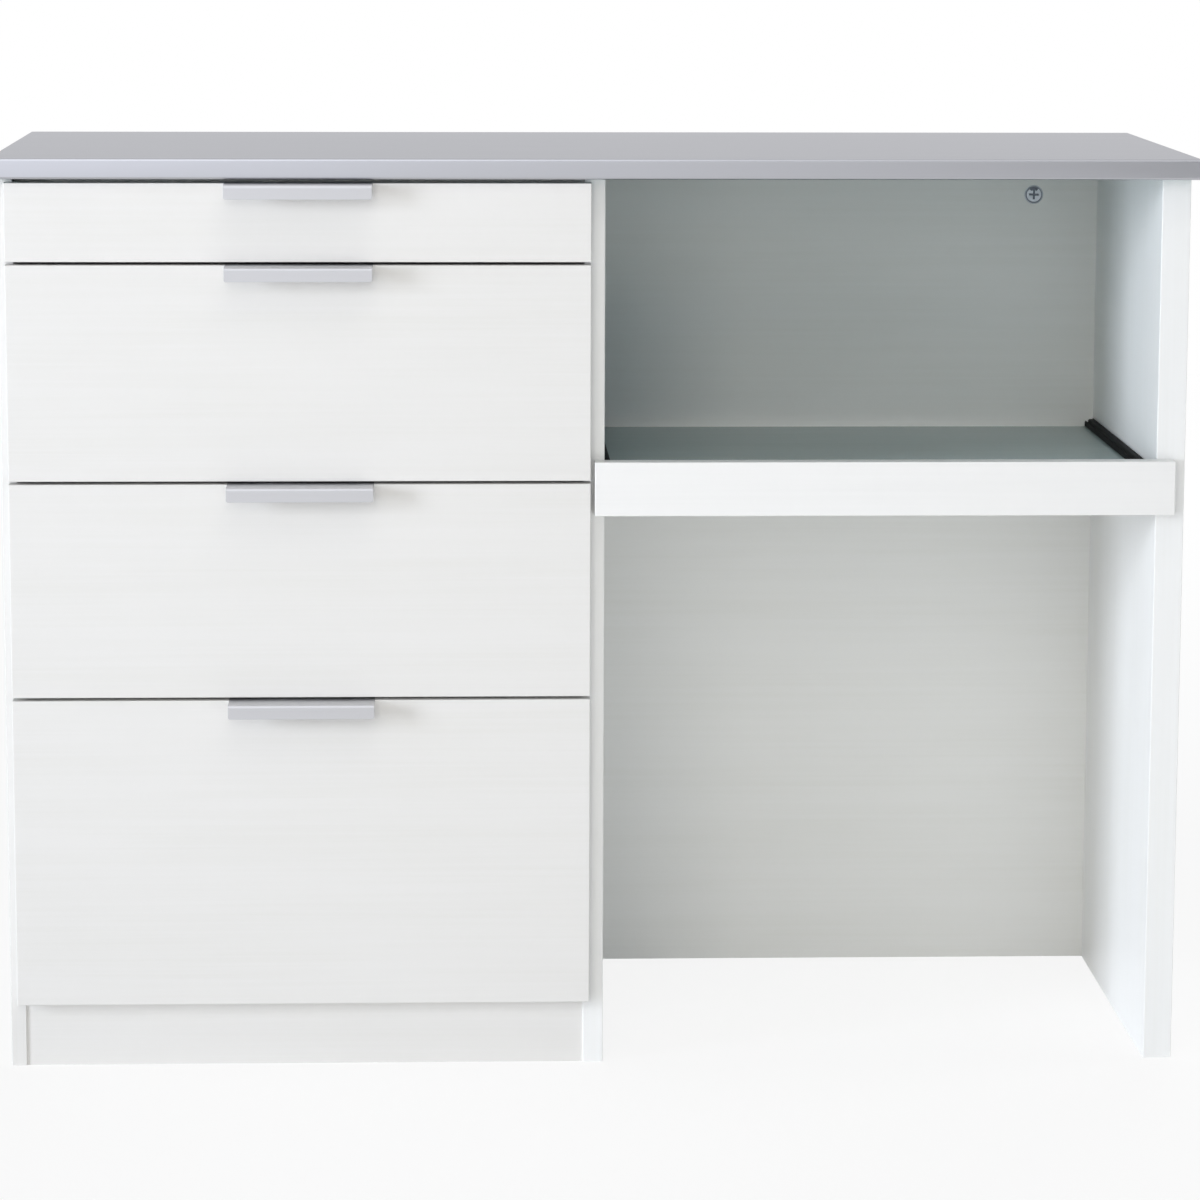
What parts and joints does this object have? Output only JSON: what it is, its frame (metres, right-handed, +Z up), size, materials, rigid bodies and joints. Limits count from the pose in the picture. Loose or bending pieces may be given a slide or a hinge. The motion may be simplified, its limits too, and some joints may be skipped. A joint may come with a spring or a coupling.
{
  "type": "kitchen counter cabinet",
  "caption": "Freestanding kitchen counter: steel worktop over a chest of drawers on the left and an open bay with a pull-out shelf on the right.",
  "frame": {"origin": "middle of the footprint of the closed cabinet, handles included, on the floor", "axes": "+X to the right along the worktop, +Y to the wall at the back, +Z up; the drawers pull out along -Y"},
  "size_m": [1.17, 0.468, 0.9],
  "materials": {
    "white_board": "white woodgrain melamine, satin",
    "shelf_board_face": "white melamine, satin",
    "core_board": "raw particle board",
    "beech": "raw, fluted",
    "stainless_sheet": "fine hairline",
    "handle_aluminium": "satin anodised",
    "runner_steel": "black, semi-gloss",
    "zinc_plated_steel": "zinc plated"
  },
  "bodies": {
    "carcass": {"worktop_skin": "stainless_sheet", "worktop_core": "core_board", "left_side_panel": "white_board", "divider_panel": "white_board", "right_leg_panel": "white_board", "chest_floor_panel": "white_board", "chest_back_panel": "white_board", "bay_back_panel": "white_board", "kickboard": "white_board", "front_top_rail": "white_board", "panel_connectors": "zinc_plated_steel", "dowels": "beech", "worktop_screws": "zinc_plated_steel", "runner_screws": "zinc_plated_steel", "drawer_1_runner_outer": "runner_steel", "drawer_2_runner_outer": "runner_steel", "drawer_3_runner_outer": "runner_steel", "drawer_4_runner_outer": "runner_steel", "shelf_runner_outer": "runner_steel"},
    "drawer_1": {"drawer_1_front": "white_board", "drawer_1_handle": "handle_aluminium", "drawer_1_left_side": "white_board", "drawer_1_right_side": "white_board", "drawer_1_back": "white_board", "drawer_1_bottom": "white_board", "drawer_1_fasteners": "zinc_plated_steel", "drawer_1_runner_inner": "runner_steel"},
    "drawer_2": {"drawer_2_front": "white_board", "drawer_2_handle": "handle_aluminium", "drawer_2_left_side": "white_board", "drawer_2_right_side": "white_board", "drawer_2_back": "white_board", "drawer_2_bottom": "white_board", "drawer_2_fasteners": "zinc_plated_steel", "drawer_2_runner_inner": "runner_steel"},
    "drawer_3": {"drawer_3_front": "white_board", "drawer_3_handle": "handle_aluminium", "drawer_3_left_side": "white_board", "drawer_3_right_side": "white_board", "drawer_3_back": "white_board", "drawer_3_bottom": "white_board", "drawer_3_fasteners": "zinc_plated_steel", "drawer_3_runner_inner": "runner_steel"},
    "drawer_4": {"drawer_4_front": "white_board", "drawer_4_handle": "handle_aluminium", "drawer_4_left_side": "white_board", "drawer_4_right_side": "white_board", "drawer_4_back": "white_board", "drawer_4_bottom": "white_board", "drawer_4_fasteners": "zinc_plated_steel", "drawer_4_runner_inner": "runner_steel"},
    "shelf": {"shelf_front_rail": "white_board", "shelf_board": "shelf_board_face", "shelf_fasteners": "zinc_plated_steel", "shelf_runner_inner": "runner_steel"},
    "drawer_1_middle_members": {"drawer_1_runner_middle": "runner_steel"},
    "drawer_2_middle_members": {"drawer_2_runner_middle": "runner_steel"},
    "drawer_3_middle_members": {"drawer_3_runner_middle": "runner_steel"},
    "drawer_4_middle_members": {"drawer_4_runner_middle": "runner_steel"},
    "shelf_middle_members": {"shelf_runner_middle": "runner_steel"}
  },
  "joints": [
    {"name": "drawer_1_slide", "type": "slide", "parent": "carcass", "child": "drawer_1", "axis": [0, -1, 0], "range_m": [0, 0.4]},
    {"name": "drawer_1_middle_slide", "type": "slide", "parent": "carcass", "child": "drawer_1_middle_members", "axis": [0, -1, 0], "range_m": [0, 0.2]},
    {"name": "drawer_2_slide", "type": "slide", "parent": "carcass", "child": "drawer_2", "axis": [0, -1, 0], "range_m": [0, 0.4]},
    {"name": "drawer_2_middle_slide", "type": "slide", "parent": "carcass", "child": "drawer_2_middle_members", "axis": [0, -1, 0], "range_m": [0, 0.2]},
    {"name": "drawer_3_slide", "type": "slide", "parent": "carcass", "child": "drawer_3", "axis": [0, -1, 0], "range_m": [0, 0.4]},
    {"name": "drawer_3_middle_slide", "type": "slide", "parent": "carcass", "child": "drawer_3_middle_members", "axis": [0, -1, 0], "range_m": [0, 0.2]},
    {"name": "drawer_4_slide", "type": "slide", "parent": "carcass", "child": "drawer_4", "axis": [0, -1, 0], "range_m": [0, 0.4]},
    {"name": "drawer_4_middle_slide", "type": "slide", "parent": "carcass", "child": "drawer_4_middle_members", "axis": [0, -1, 0], "range_m": [0, 0.2]},
    {"name": "shelf_slide", "type": "slide", "parent": "carcass", "child": "shelf", "axis": [0, -1, 0], "range_m": [0, 0.4]},
    {"name": "shelf_middle_slide", "type": "slide", "parent": "carcass", "child": "shelf_middle_members", "axis": [0, -1, 0], "range_m": [0, 0.2]}
  ],
  "couplings": [
    {"joint": "drawer_1_middle_slide", "follows": "drawer_1_slide", "ratio": 0.5},
    {"joint": "drawer_2_middle_slide", "follows": "drawer_2_slide", "ratio": 0.5},
    {"joint": "drawer_3_middle_slide", "follows": "drawer_3_slide", "ratio": 0.5},
    {"joint": "drawer_4_middle_slide", "follows": "drawer_4_slide", "ratio": 0.5},
    {"joint": "shelf_middle_slide", "follows": "shelf_slide", "ratio": 0.5}
  ]
}
